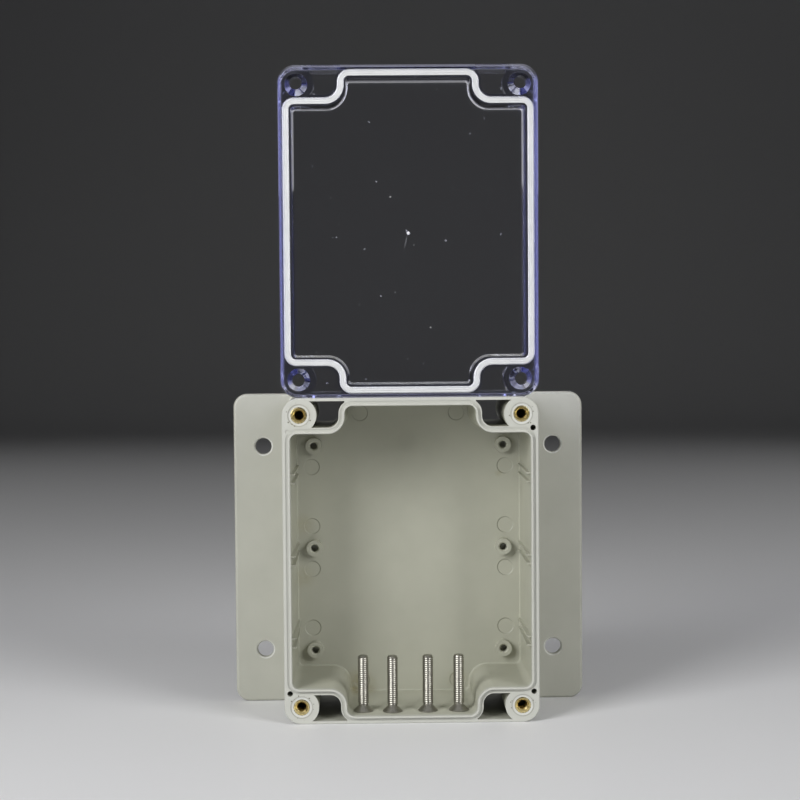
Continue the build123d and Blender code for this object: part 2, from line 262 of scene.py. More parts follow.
# Dust on the panel of the cover, its gate mark, and a scratch from the gate mark downward
DUST_COLOUR = (0.9, 0.9, 0.92)
DUST_SIZE = 1.4 * MM
DUST_RANGE = (0.855, 0.885)
DUST_SHARE = 0.22
GATE_SHARE = 0.5
GATE_RANGE = (0.45 * MM, 0.65 * MM)
SCRATCH_SHARE = 0.045
SCRATCH_OFFSET = Vector((-0.9 * MM, 0.0, -3.0 * MM))
SCRATCH_LEAN = radians(14.0)
SCRATCH_HALF_WIDTH = 0.3 * MM
SCRATCH_HALF_LENGTH = 3.2 * MM

# Silicone of the gasket
RUBBER_DARK = (0.60, 0.61, 0.61)
RUBBER_LIGHT = (0.65, 0.66, 0.66)
RUBBER_CLOUD = 5.0 * MM
RUBBER_ROUGHNESS = (0.5, 0.65)
RUBBER_GRAIN = 0.2 * MM
RUBBER_GRAIN_DEPTH = 0.01 * MM
RUBBER_SHEEN = 0.15

# Brass of the inserts
BRASS_CLEAN = (0.80, 0.67, 0.33)
BRASS_TARNISHED = (0.58, 0.47, 0.21)
TARNISH_SIZE = 1.2 * MM
TARNISH_RANGE = (0.45, 0.75)
BRASS_ROUGHNESS = (0.24, 0.36)
BRASS_GRAIN = 0.15 * MM
BRASS_GRAIN_DEPTH = 0.006 * MM

# Steel of the screws
STEEL_DARK = (0.28, 0.27, 0.24)
STEEL_LIGHT = (0.36, 0.35, 0.31)
STEEL_CLOUD = 0.8 * MM
STEEL_ROUGHNESS = (0.30, 0.42)
STEEL_GRAIN = 0.12 * MM
STEEL_GRAIN_DEPTH = 0.004 * MM


def halfway(low, high):
    """Middle of a box from its two corners."""
    return [(a + b) / 2 for a, b in zip(low, high)]


def material(name):
    """A new node material with its tree, its shader and its object coordinates."""
    made = bpy.data.materials.new(name)
    made.use_nodes = True
    tree = made.node_tree
    shader = tree.nodes["Principled BSDF"]
    coords = tree.nodes.new("ShaderNodeTexCoord").outputs["Object"]
    return made, tree, shader, coords


def put(tree, socket, value):
    """Links a socket, or sets a number or an opaque colour."""
    if isinstance(value, bpy.types.NodeSocket):
        tree.links.new(value, socket)
    elif isinstance(value, tuple):
        socket.default_value = (*value, 1.0)
    else:
        socket.default_value = value


def noise(tree, coords, size, detail=3.0):
    """Noise whose blotches are about size metres across."""
    node = tree.nodes.new("ShaderNodeTexNoise")
    node.inputs["Scale"].default_value = 1 / size
    node.inputs["Detail"].default_value = detail
    node.inputs["Roughness"].default_value = NOISE_ROUGHNESS
    tree.links.new(coords, node.inputs["Vector"])
    return node.outputs["Fac"]


def spread(tree, value, low, high, from_low=NOISE_FROM, from_high=NOISE_TO):
    """The value moved from one range to another and held within it."""
    node = tree.nodes.new("ShaderNodeMapRange")
    node.inputs["From Min"].default_value = from_low
    node.inputs["From Max"].default_value = from_high
    node.inputs["To Min"].default_value = low
    node.inputs["To Max"].default_value = high
    tree.links.new(value, node.inputs["Value"])
    return node.outputs["Result"]


def blend_colours(tree, share, first, second):
    """Two colours or sockets mixed: none of the second at a share of 0, all of it at 1."""
    node = tree.nodes.new("ShaderNodeMix")
    node.data_type = "RGBA"
    put(tree, node.inputs["Factor"], share)
    put(tree, node.inputs["A"], first)
    put(tree, node.inputs["B"], second)
    return node.outputs["Result"]


def calculate(tree, operation, first, second=None, clamp=False):
    """One arithmetic node on sockets or plain values."""
    node = tree.nodes.new("ShaderNodeMath")
    node.operation = operation
    node.use_clamp = clamp
    put(tree, node.inputs[0], first)
    if second is not None:
        put(tree, node.inputs[1], second)
    return node.outputs[0]


def vector_math(tree, operation, vector, other=None):
    """One vector node on a socket and a plain vector."""
    node = tree.nodes.new("ShaderNodeVectorMath")
    node.operation = operation
    tree.links.new(vector, node.inputs[0])
    if other is not None:
        node.inputs[1].default_value = other
    return node


def split(tree, coords):
    """The X, Y and Z of coordinates as sockets of their own."""
    parts = tree.nodes.new("ShaderNodeSeparateXYZ")
    tree.links.new(coords, parts.inputs[0])
    return parts.outputs["X"], parts.outputs["Y"], parts.outputs["Z"]


def bump(tree, shader, layers):
    """Stacks bump layers, each a height socket and its depth in metres."""
    normal = None
    for height, depth in layers:
        node = tree.nodes.new("ShaderNodeBump")
        node.inputs["Strength"].default_value = 1.0
        node.inputs["Distance"].default_value = depth
        tree.links.new(height, node.inputs["Height"])
        if normal is not None:
            tree.links.new(normal, node.inputs["Normal"])
        normal = node.outputs["Normal"]
    tree.links.new(normal, shader.inputs["Normal"])


def grained(tree, shader, coords, size, detail, roughness):
    """Noise that moves the roughness between two values. Returns the noise, for the bump."""
    grain = noise(tree, coords, size, detail)
    tree.links.new(spread(tree, grain, *roughness), shader.inputs["Roughness"])
    return grain


def distance_from(tree, coords, place):
    """Distance of each point from a place; a None coordinate isn't counted."""
    offset = vector_math(tree, "SUBTRACT", coords, [0.0 if value is None else value for value in place])
    counted = [0.0 if value is None else 1.0 for value in place]
    offset = vector_math(tree, "MULTIPLY", offset.outputs[0], counted)
    return vector_math(tree, "LENGTH", offset.outputs[0]).outputs["Value"]


def folded(tree, coords, middle_z):
    """Coordinates folded about the base's middle, so that a mark serves four corners, and their depth."""
    across, depth, upward = split(tree, coords)
    joined = tree.nodes.new("ShaderNodeCombineXYZ")
    tree.links.new(calculate(tree, "ABSOLUTE", across), joined.inputs["X"])
    tree.links.new(depth, joined.inputs["Y"])
    from_middle = calculate(tree, "SUBTRACT", upward, middle_z)
    tree.links.new(calculate(tree, "ABSOLUTE", from_middle), joined.inputs["Z"])
    return joined.outputs[0], depth


def between(tree, value, low, high, fade):
    """One where a value lies between two levels, falling to none past each."""
    above = spread(tree, value, 0.0, 1.0, low - fade, low)
    below = spread(tree, value, 1.0, 0.0, high, high + fade)
    return calculate(tree, "MULTIPLY", above, below)


def ring_line(tree, distance, radius, half_width):
    """One on a thin circle of that radius, falling to none beside it."""
    away = calculate(tree, "ABSOLUTE", calculate(tree, "SUBTRACT", distance, radius))
    return spread(tree, away, 1.0, 0.0, LINE_CORE * half_width, half_width)


def dots(tree, coords, cell, radius):
    """Round dots, about one to each cell, some faint and some dark."""
    node = tree.nodes.new("ShaderNodeTexVoronoi")
    node.inputs["Scale"].default_value = 1 / cell
    tree.links.new(coords, node.inputs["Vector"])
    shape = spread(tree, node.outputs["Distance"], 1.0, 0.0, DOT_CORE * radius / cell, radius / cell)
    darkness = spread(tree, node.outputs["Color"], 0.0, 1.0, *SPECK_DARK_RANGE)
    return calculate(tree, "MULTIPLY", shape, darkness)


def floor_level():
    """Depth of the cavity's floor, which the front face of the ears shares."""
    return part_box("base_shell")[1][1] - FLOOR_FROM_BACK


def on_floor(tree, depth):
    """One on the cavity's floor and the front face of the ears."""
    level = floor_level()
    return between(tree, depth, level - MARK_FADE, level + FLOOR_BAND, MARK_FADE)


def in_cavity(tree, folded_coords):
    """One within the base's walls, down to its floor, where the plastic is painted warmer for the light it
    bounces onto itself.
    """
    across, depth, upward = split(tree, folded_coords)
    inside_x = spread(tree, across, 1.0, 0.0, CAVITY_HALF_X, CAVITY_HALF_X + CAVITY_FADE)
    inside_z = spread(tree, upward, 1.0, 0.0, CAVITY_HALF_Z, CAVITY_HALF_Z + CAVITY_FADE)
    last = floor_level() + FLOOR_BAND
    above_floor = spread(tree, depth, 1.0, 0.0, last, last + FLOOR_BAND)
    return calculate(tree, "MULTIPLY", calculate(tree, "MULTIPLY", inside_x, inside_z), above_floor)


def pin_marks(tree, folded_coords, depth):
    """Where ejector pins pressed the floor: thin circles, partly dirt and partly painted shade of the
    recessed edge, darker on the side toward the floor's middle, and the discs inside them.
    """
    across = split(tree, folded_coords)[0]
    pin_lines_and_shade, discs = None, None
    for x, z in PIN_MARKS:
        distance = distance_from(tree, folded_coords, (x, None, z))
        line = ring_line(tree, distance, PIN_MARK_R, PIN_LINE_HALF)
        # Painted shade: full on the side toward the middle, faint on the outer side
        shaded_side = spread(tree, across, 1.0, PIN_LIT_SIDE_SHARE, x - PIN_SHADE_SIDE_FADE, x + PIN_SHADE_SIDE_FADE)
        line = calculate(tree, "MULTIPLY", line, shaded_side)
        disc = spread(tree, distance, 1.0, 0.0, PIN_MARK_R - PIN_EDGE_FADE, PIN_MARK_R + PIN_EDGE_FADE)
        pin_lines_and_shade = line if pin_lines_and_shade is None else calculate(tree, "ADD", pin_lines_and_shade, line, clamp=True)
        discs = disc if discs is None else calculate(tree, "ADD", discs, disc, clamp=True)
    level = on_floor(tree, depth)
    return calculate(tree, "MULTIPLY", pin_lines_and_shade, level), calculate(tree, "MULTIPLY", discs, level)


def insert_distance(tree, folded_coords, depth):
    """Distance from the nearest insert's axis, and a mask that is one on the faces of the posts."""
    low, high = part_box("threaded_insert_upper_right")
    base_low, base_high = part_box("base_shell")
    x, _, z = halfway(low, high)
    place = (x, None, z - halfway(base_low, base_high)[2])
    on_face = between(tree, depth, base_low[1], low[1] + POST_FACE_BAND, MARK_FADE)
    return distance_from(tree, folded_coords, place), on_face


def painted_edge_highlights(tree, folded_coords, depth):
    """One where highlights are painted on the moulded edges around the inserts' seats and the ear holes."""
    seat, on_post = insert_distance(tree, folded_coords, depth)
    seat_highlight = between(tree, seat, 0.0, SEAT_HIGHLIGHT_R, EDGE_HIGHLIGHT_FADE)
    seat_highlight = calculate(tree, "MULTIPLY", seat_highlight, on_post)
    hole = distance_from(tree, folded_coords, (EAR_HOLE_X, None, EAR_HOLE_Z))
    ear_highlight = between(tree, hole, 0.0, EAR_HIGHLIGHT_R, EDGE_HIGHLIGHT_FADE)
    ear_highlight = calculate(tree, "MULTIPLY", ear_highlight, on_floor(tree, depth))
    return calculate(tree, "MAXIMUM", seat_highlight, ear_highlight)


def insert_dirt_and_shade(tree, coords, folded_coords, depth):
    """A thin painted shade line on the edge of each insert's spot face, and dark specks scattered along it.
    """
    distance, on_face = insert_distance(tree, folded_coords, depth)
    # Painted shade along the spot face's edge
    line = ring_line(tree, distance, SPOT_FACE_R, SPOT_SHADE_HALF)
    line = calculate(tree, "MULTIPLY", line, SPOT_SHADE_SHARE)
    nearest, farthest = SPECK_RING_R - SPECK_RING_HALF, SPECK_RING_R + SPECK_RING_HALF
    band = between(tree, distance, nearest, farthest, MARK_FADE)
    specks = calculate(tree, "MULTIPLY", band, dots(tree, coords, SPECK_CELL, SPECK_R))
    return calculate(tree, "MULTIPLY", calculate(tree, "MAXIMUM", line, specks), on_face)


def stain(tree, coords, place, reach, strength):
    """A cloudy spot that fades out at that reach from its place."""
    near = spread(tree, distance_from(tree, coords, place), strength, 0.0, STAIN_CORE * reach, reach)
    cloud = noise(tree, coords, STAIN_CLOUD, detail=4.0)
    cloud = spread(tree, cloud, STAIN_THINNEST, 1.0, *STAIN_CLOUD_RANGE)
    return calculate(tree, "MULTIPLY", near, cloud, clamp=True)


def shell_plastic():
    """Light warm grey moulded plastic, semi-gloss, with grain, flow clouds, pin marks, dirt and stains, and
    painted highlights, painted shade and painted bounce light.
    """
    made, tree, shader, coords = material("grey_moulded_plastic")
    clouds = spread(tree, noise(tree, coords, SHELL_CLOUD, detail=2.0), 0.0, 1.0)
    colour = blend_colours(tree, clouds, SHELL_DARK, SHELL_LIGHT)
    specks = noise(tree, coords, SHELL_SPECK_SIZE, detail=1.0)
    specks = spread(tree, specks, 0.0, SHELL_SPECK_SHARE, *SHELL_SPECK_RANGE)
    colour = blend_colours(tree, specks, colour, SHELL_SPECK)
    low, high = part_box("base_shell")
    folded_coords, depth = folded(tree, coords, halfway(low, high)[2])
    # Painted bounce light: the cavity's plastic is tinted warmer
    inside = in_cavity(tree, folded_coords)
    bounce_tinted = vector_math(tree, "MULTIPLY", colour, CAVITY_BOUNCE_TINT)
    colour = blend_colours(tree, inside, colour, bounce_tinted.outputs[0])
    # Painted highlight on the rim near the front of the base
    front = spread(tree, depth, RIM_HIGHLIGHT_SHARE, 0.0, low[1] + RIM_HIGHLIGHT_FROM, low[1] + RIM_HIGHLIGHT_TO)
    colour = blend_colours(tree, front, colour, RIM_HIGHLIGHT_COLOUR)
    # Painted highlights around the inserts' seats and the ear holes
    colour = blend_colours(tree, painted_edge_highlights(tree, folded_coords, depth), colour, EDGE_HIGHLIGHT_COLOUR)
    # Pin circles: dirt and painted shade, darker on the side toward the middle of the base
    pin_lines_and_shade, discs = pin_marks(tree, folded_coords, depth)
    colour = blend_colours(tree, calculate(tree, "MULTIPLY", pin_lines_and_shade, PIN_MARK_AND_SHADE_SHARE), colour, PIN_MARK_AND_SHADE_COLOUR)
    # Painted shade line and specks of dirt around each insert
    dirt_and_shade = insert_dirt_and_shade(tree, coords, folded_coords, depth)
    colour = blend_colours(tree, dirt_and_shade, colour, DIRT_AND_SHADE_COLOUR)
    for place, reach, strength in STAINS:
        spot = calculate(tree, "MULTIPLY", stain(tree, coords, place, reach, strength), inside)
        colour = blend_colours(tree, spot, colour, STAIN_COLOUR)
    tree.links.new(colour, shader.inputs["Base Color"])
    shader.inputs["IOR"].default_value = SHELL_IOR
    grain = grained(tree, shader, coords, SHELL_GRAIN, 2.0, SHELL_ROUGHNESS)
    sink = noise(tree, coords, SHELL_SINK, detail=1.0)
    bump(tree, shader, [(sink, SHELL_SINK_DEPTH), (grain, SHELL_GRAIN_DEPTH), (discs, PIN_RELIEF)])
    return made


def edge_glow(tree, coords):
    """One on the cover's outer side walls, where its violet tint gathers, and less on its end walls."""
    low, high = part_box("clear_cover")
    across, _, upward = split(tree, coords)
    sideways = calculate(tree, "ABSOLUTE", across)
    endways = calculate(tree, "ABSOLUTE", calculate(tree, "SUBTRACT", upward, halfway(low, high)[2]))
    half_height = (high[2] - low[2]) / 2
    full = 0.5 * EDGE_GLOW_REACH
    side = spread(tree, sideways, 0.0, 1.0, high[0] - EDGE_GLOW_REACH, high[0] - full)
    end = spread(tree, endways, 0.0, EDGE_END_SHARE, half_height - EDGE_GLOW_REACH, half_height - full)
    return calculate(tree, "MAXIMUM", side, end)


def dust(tree, coords):
    """Sparse specks of dust, the gate mark in the middle of the panel, and a short scratch under it."""
    low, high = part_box("clear_cover")
    grains = spread(tree, noise(tree, coords, DUST_SIZE, detail=0.0), 0.0, DUST_SHARE, *DUST_RANGE)
    middle = Vector(halfway(low, high))
    middle.y = 0.0
    gate = distance_from(tree, coords, (middle.x, None, middle.z))
    gate = spread(tree, gate, GATE_SHARE, 0.0, *GATE_RANGE)
    turned = tree.nodes.new("ShaderNodeMapping")
    turned.vector_type = "TEXTURE"
    turned.inputs["Location"].default_value = middle + SCRATCH_OFFSET
    turned.inputs["Rotation"].default_value = (0.0, SCRATCH_LEAN, 0.0)
    turned.inputs["Scale"].default_value = (SCRATCH_HALF_WIDTH, 1.0, SCRATCH_HALF_LENGTH)
    tree.links.new(coords, turned.inputs["Vector"])
    scratch = distance_from(tree, turned.outputs[0], (0.0, None, 0.0))
    scratch = spread(tree, scratch, SCRATCH_SHARE, 0.0, LINE_CORE, 1.0)
    return calculate(tree, "MAXIMUM", grains, calculate(tree, "MAXIMUM", scratch, gate))


def let_light_through(tree, shader, output):
    """Lets lamps shine through the clear plastic, so that what it covers isn't in its shadow."""
    rays = tree.nodes.new("ShaderNodeLightPath")
    clear = tree.nodes.new("ShaderNodeBsdfTransparent")
    put(tree, clear.inputs["Color"], SHADOW_TINT)
    either = tree.nodes.new("ShaderNodeMixShader")
    tree.links.new(rays.outputs["Is Shadow Ray"], either.inputs[0])
    tree.links.new(shader.outputs["BSDF"], either.inputs[1])
    tree.links.new(clear.outputs["BSDF"], either.inputs[2])
    tree.links.new(either.outputs[0], output.inputs["Surface"])


def clear_plastic():
    """Polished clear polycarbonate with a violet tint that deepens along its edges."""
    made, tree, shader, coords = material("clear_polycarbonate")
    glow, specks = edge_glow(tree, coords), dust(tree, coords)
    colour = blend_colours(tree, glow, COVER_TINT, EDGE_GLOW_TINT)
    colour = blend_colours(tree, specks, colour, DUST_COLOUR)
    tree.links.new(colour, shader.inputs["Base Color"])
    solid = calculate(tree, "MAXIMUM", calculate(tree, "MULTIPLY", glow, EDGE_MILK), specks)
    tree.links.new(calculate(tree, "SUBTRACT", 1.0, solid), shader.inputs["Transmission Weight"])
    shader.inputs["IOR"].default_value = COVER_IOR
    grained(tree, shader, coords, COVER_HAZE, 4.0, COVER_ROUGHNESS)
    bump(tree, shader, [(noise(tree, coords, COVER_RIPPLE, detail=1.0), COVER_RIPPLE_DEPTH)])
    tint = tree.nodes.new("ShaderNodeVolumeAbsorption")
    tint.inputs["Color"].default_value = COVER_DEPTH_TINT
    tint.inputs["Density"].default_value = COVER_DEPTH_DENSITY
    output = tree.nodes["Material Output"]
    tree.links.new(tint.outputs["Volume"], output.inputs["Volume"])
    let_light_through(tree, shader, output)
    return made


def white_rubber():
    """White silicone with a powdery surface."""
    made, tree, shader, coords = material("white_silicone")
    clouds = spread(tree, noise(tree, coords, RUBBER_CLOUD), 0.0, 1.0)
    colour = blend_colours(tree, clouds, RUBBER_DARK, RUBBER_LIGHT)
    tree.links.new(colour, shader.inputs["Base Color"])
    shader.inputs["Sheen Weight"].default_value = RUBBER_SHEEN
    grain = grained(tree, shader, coords, RUBBER_GRAIN, 3.0, RUBBER_ROUGHNESS)
    bump(tree, shader, [(grain, RUBBER_GRAIN_DEPTH)])
    return made


def turned_brass():
    """Brass with a fine grain and slight tarnish."""
    made, tree, shader, coords = material("turned_brass")
    tarnish = spread(tree, noise(tree, coords, TARNISH_SIZE, detail=4.0), 0.0, 1.0, *TARNISH_RANGE)
    colour = blend_colours(tree, tarnish, BRASS_CLEAN, BRASS_TARNISHED)
    tree.links.new(colour, shader.inputs["Base Color"])
    shader.inputs["Metallic"].default_value = 1.0
    grain = grained(tree, shader, coords, BRASS_GRAIN, 2.0, BRASS_ROUGHNESS)
    bump(tree, shader, [(grain, BRASS_GRAIN_DEPTH)])
    return made


def bright_steel():
    """Stainless steel with faint clouds and a fine grain."""
    made, tree, shader, coords = material("stainless_steel")
    clouds = spread(tree, noise(tree, coords, STEEL_CLOUD), 0.0, 1.0)
    colour = blend_colours(tree, clouds, STEEL_DARK, STEEL_LIGHT)
    tree.links.new(colour, shader.inputs["Base Color"])
    shader.inputs["Metallic"].default_value = 1.0
    grain = grained(tree, shader, coords, STEEL_GRAIN, 2.0, STEEL_ROUGHNESS)
    bump(tree, shader, [(grain, STEEL_GRAIN_DEPTH)])
    return made


def dress(obj, finish):
    """Gives an object one material."""
    obj.data.materials.clear()
    obj.data.materials.append(finish)


def new_piece(name, points, faces, finish, body, sharp=SHARP_ANGLE):
    """Adds a closed mesh that stands for the node of that name and rides on that node's body."""
    mesh = bpy.data.meshes.new(name)
    mesh.from_pydata(points, [], faces)
    shape = bmesh.new()
    shape.from_mesh(mesh)
    bmesh.ops.remove_doubles(shape, verts=shape.verts, dist=MERGE)
    bmesh.ops.recalc_face_normals(shape, faces=shape.faces)
    shape.to_mesh(mesh)
    shape.free()
    mesh.shade_smooth()
    mesh.set_sharp_from_angle(angle=sharp)
    obj = bpy.data.objects.new(f"{name}_detailed", mesh)
    bpy.context.scene.collection.objects.link(obj)
    dress(obj, finish)
    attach(obj, body)
    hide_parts(name)


class Solid:
    """Points and faces gathered ring by ring."""

    def __init__(self, sides):
        self.sides = sides
        self.points = []
        self.faces = []

    def ring(self, radii, height):
        """Adds a ring of points; radii is one radius or one for each side. Returns its first index."""
        first = len(self.points)
        for side in range(self.sides):
            radius = radii[side] if isinstance(radii, list) else radii
            angle = 2 * pi * side / self.sides
            self.points.append((radius * cos(angle), radius * sin(angle), height))
        return first

    def join(self, rings):
        """Faces from each ring to the next."""
        for lower, upper in zip(rings, rings[1:]):
            for side in range(self.sides):
                after = (side + 1) % self.sides
                self.faces.append((lower + side, lower + after, upper + after, upper + side))

    def turned(self, outline):
        """Rings through (radius, height) pairs, joined one to the next. Returns the first ring."""
        rings = [self.ring(radius, height) for radius, height in outline]
        self.join(rings)
        return rings[0]

    def cap(self, ring):
        """One flat face across a ring."""
        self.faces.append(tuple(ring + side for side in range(self.sides)))

    def thread(self, low, high, root_r, crest_r, limit):
        """A true helix between two heights; limit gives the radius that a point is held to."""
        crest_start = (1 + THREAD_ROOT_SHARE - THREAD_CREST_SHARE) / 2
        section = (
            (0.0, root_r),
            (THREAD_ROOT_SHARE, root_r),
            (crest_start, crest_r),
            (crest_start + THREAD_CREST_SHARE, crest_r),
        )
        first, rows = len(self.points), 0
        for turn in range(-SPARE_TURNS, ceil((high - low) / THREAD_PITCH) + SPARE_TURNS):
            for share, radius in section:
                for side in range(self.sides):
                    height = low + THREAD_PITCH * (turn + share + side / self.sides)
                    height = min(max(height, low), high)
                    angle = 2 * pi * side / self.sides
                    held = limit(radius, height)
                    self.points.append((held * cos(angle), held * sin(angle), height))
                rows += 1
        per_turn = len(section)
        for row in range(rows - per_turn - 1):
            for side in range(self.sides):
                start = first + row * self.sides + side
                after = start + 1 if side + 1 < self.sides else first + (row + per_turn) * self.sides
                self.faces.append((start, after, after + self.sides, start + self.sides))


def cross_outline(reach, half, height):
    """The corners of a cross, arm by arm from +X, each arm's two tips and then the inner corner."""
    corners = []
    for arm in range(ARMS):
        turn = Matrix.Rotation(2 * pi / ARMS * arm, 3, "Z")
        for corner in ((reach, -half), (reach, half), (half, half)):
            corners.append(tuple(turn @ Vector((*corner, height))))
    return corners


def recessed_bottom(solid, ring):
    """Closes the ring under a head with a face that has a tapered cross recess."""
    mouth = len(solid.points)
    solid.points += cross_outline(RECESS_REACH, RECESS_HALF, 0.0)
    bottom = len(solid.points)
    solid.points += cross_outline(RECESS_REACH - RECESS_LOSS, RECESS_HALF - RECESS_LOSS, RECESS_DEPTH)
    quarter = solid.sides // ARMS
    tip_steps = range(RECESS_EDGE_STEP, -RECESS_EDGE_STEP - 1, -1)
    inner_steps = range(quarter - RECESS_EDGE_STEP, RECESS_EDGE_STEP - 1, -1)
    for arm in range(ARMS):
        tip = mouth + CORNERS_PER_ARM * arm
        next_tip = mouth + CORNERS_PER_ARM * (arm + 1) % CROSS_CORNERS
        for corners, steps in (((tip, tip + 1), tip_steps), ((tip + 1, tip + 2, next_tip), inner_steps)):
            rim = tuple(ring + (quarter * arm + step) % solid.sides for step in steps)
            solid.faces.append(corners + rim)
    for corner in range(CROSS_CORNERS):
        after = (corner + 1) % CROSS_CORNERS
        solid.faces.append((mouth + corner, mouth + after, bottom + after, bottom + corner))
    for arm in range(ARMS):
        tip = bottom + CORNERS_PER_ARM * arm
        inner_before = bottom + (CORNERS_PER_ARM * arm - 1) % CROSS_CORNERS
        solid.faces.append((tip, tip + 1, tip + 2, inner_before))
    solid.faces.append(tuple(bottom + CORNERS_PER_ARM * arm + 2 for arm in range(ARMS)))


def screw_shape():
    """Countersunk M4 screw standing on its head, with a real helical thread and a cross recess."""
    solid = Solid(SCREW_SIDES)
    tip_r = THREAD_CREST_R - TIP_CHAMFER

    def held(radius, height):
        """Radius of the thread, which runs out over the undercut and tapers at the tip."""
        past_undercut = height - UNDERCUT_TOP
        run_out = UNDERCUT_R + past_undercut * RUN_OUT_SLOPE
        lead_in = tip_r + SCREW_LENGTH - height
        return min(max(radius, UNDERCUT_R - past_undercut), run_out, lead_in)

    under = solid.turned((
        (HEAD_R - HEAD_EDGE, 0.0),
        (HEAD_R, HEAD_EDGE),
        (HEAD_R, HEAD_RIM),
        (UNDERCUT_R, HEAD_HEIGHT),
        (UNDERCUT_R, UNDERCUT_TOP),
    ))
    recessed_bottom(solid, under)
    solid.thread(UNDERCUT_TOP, SCREW_LENGTH, THREAD_ROOT_R, THREAD_CREST_R, held)
    solid.cap(solid.ring(tip_r, SCREW_LENGTH))
    return solid


def insert_shape(length):
    """Brass bush along Z from its face at 0: internal thread, two knurled bands and a waist."""
    solid = Solid(INSERT_SIDES)
    knurl = [INSERT_R - (KNURL_DEPTH if side % KNURL_REPEAT == 0 else 0.0) for side in range(INSERT_SIDES)]
    waist_low, waist_high = (length - WAIST_LENGTH) / 2, (length + WAIST_LENGTH) / 2
    face_r = INSERT_R - KNURL_DEPTH - INSERT_RIM
    mouth_r = BORE_CREST_R + BORE_MOUTH

    def held(radius, height):
        """Radius of the bore's thread, which opens into a mouth at both ends."""
        return max(radius, mouth_r - min(height, length - height))

    solid.turned((
        (mouth_r, 0.0),
        (face_r, 0.0),
        (knurl, INSERT_RIM),
        (knurl, waist_low),
        (WAIST_R, waist_low + INSERT_RIM),
        (WAIST_R, waist_high - INSERT_RIM),
        (knurl, waist_high),
        (knurl, length - INSERT_RIM),
        (face_r, length),
        (mouth_r, length),
    ))
    solid.thread(0.0, length, BORE_CREST_R, BORE_ROOT_R, held)
    return solid


def seal_quarter(half_x, half_y, grow):
    """First quarter of the seal line moved outward by grow: wide corner, inner step, neck corner."""
    wide_y = half_y - SEAL_END_STEP
    arcs = (
        (half_x - SEAL_WIDE_R, wide_y - SEAL_WIDE_R, SEAL_WIDE_R + grow, 0.0, pi / 2),
        (SEAL_NECK_HALF_X + SEAL_STEP_R, wide_y + SEAL_STEP_R, SEAL_STEP_R - grow, 1.5 * pi, pi),
        (SEAL_NECK_HALF_X - SEAL_NECK_R, half_y - SEAL_NECK_R, SEAL_NECK_R + grow, 0.0, pi / 2),
    )
    points = []
    for middle_x, middle_y, radius, start, end in arcs:
        for step in range(ARC_STEPS + 1):
            angle = start + (end - start) * step / ARC_STEPS
            points.append((middle_x + radius * cos(angle), middle_y + radius * sin(angle)))
    return points


def seal_loop(half_x, half_y, grow):
    """The whole closed line from its first quarter."""
    quarter = seal_quarter(half_x, half_y, grow)
    left = [(-x, y) for x, y in reversed(quarter)]
    upper = quarter + left
    return upper + [(x, -y) for x, y in reversed(upper)]


def gasket_section(back, face):
    """Outline across the gasket, as distance from the seal line and depth: flat face with two creases."""
    half = GASKET_WIDTH / 2
    creases = []
    for middle in (-CREASE_AT, CREASE_AT):
        creases += [
            (middle - CREASE_HALF, face),
            (middle, face + CREASE_DEPTH),
            (middle + CREASE_HALF, face),
        ]
    return [
        (-half, back),
        (-half, face + GASKET_BEVEL),
        (GASKET_BEVEL - half, face),
        *creases,
        (half - GASKET_BEVEL, face),
        (half, face + GASKET_BEVEL),
        (half, back),
    ]


def gasket_shape(low, high):
    """Rubber strip swept along the seal line, its face toward the viewer."""
    half_x, half_y = (high[0] - low[0] - GASKET_WIDTH) / 2, (high[2] - low[2] - GASKET_WIDTH) / 2
    middle_x, _, middle_z = halfway(low, high)
    section = gasket_section(high[1] - GASKET_AIR, low[1])
    points = []
    for grow, level in section:
        points += [(middle_x + x, level, middle_z + z) for x, z in seal_loop(half_x, half_y, grow)]
    rows = len(section)
    count = len(points) // rows
    faces = []
    for row in range(rows):
        this, other = row * count, (row + 1) % rows * count
        for step in range(count):
            after = (step + 1) % count
            faces.append((this + step, this + after, other + after, other + step))
    return points, faces


def body_of_screw(name):
    """Body that carries a screw: cover_screw_2 rides on screw_2."""
    return name.removeprefix("cover_")


def standing_screws(finish):
    """The four cover screws, each turned differently, leaning back with the wall they stand on."""
    shape = screw_shape()
    for name, turn in SCREW_TURNS.items():
        low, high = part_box(name)
        middle_x, middle_y, _ = halfway(low, high)
        foot_y = middle_y + (HEAD_RIM + HEAD_EDGE) / 2 * sin(SCREW_TILT)
        foot_z = low[2] + (HEAD_R - HEAD_EDGE) * sin(SCREW_TILT)
        place = Matrix.Translation((middle_x, foot_y, foot_z))
        place @= Matrix.Rotation(SCREW_TILT, 4, "X") @ Matrix.Rotation(turn, 4, "Z")
        points = [tuple(place @ Vector(point)) for point in shape.points]
        new_piece(name, points, shape.faces, finish, body_of_screw(name), SCREW_SHARP_ANGLE)


def post_inserts(finish):
    """The four brass inserts, face toward the viewer."""
    for name in NODES:
        if not name.startswith("threaded_insert"):
            continue
        low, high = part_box(name)
        shape = insert_shape(high[1] - low[1])
        middle_x, _, middle_z = halfway(low, high)
        place = Matrix.Translation((middle_x, low[1], middle_z)) @ Matrix.Rotation(-pi / 2, 4, "X")
        points = [tuple(place @ Vector(point)) for point in shape.points]
        new_piece(name, points, shape.faces, finish, "base")


def cover_gasket(finish):
    """The gasket in the cover's channel."""
    low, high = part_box("cover_gasket")
    points, faces = gasket_shape(low, high)
    new_piece("cover_gasket", points, faces, finish, "cover")


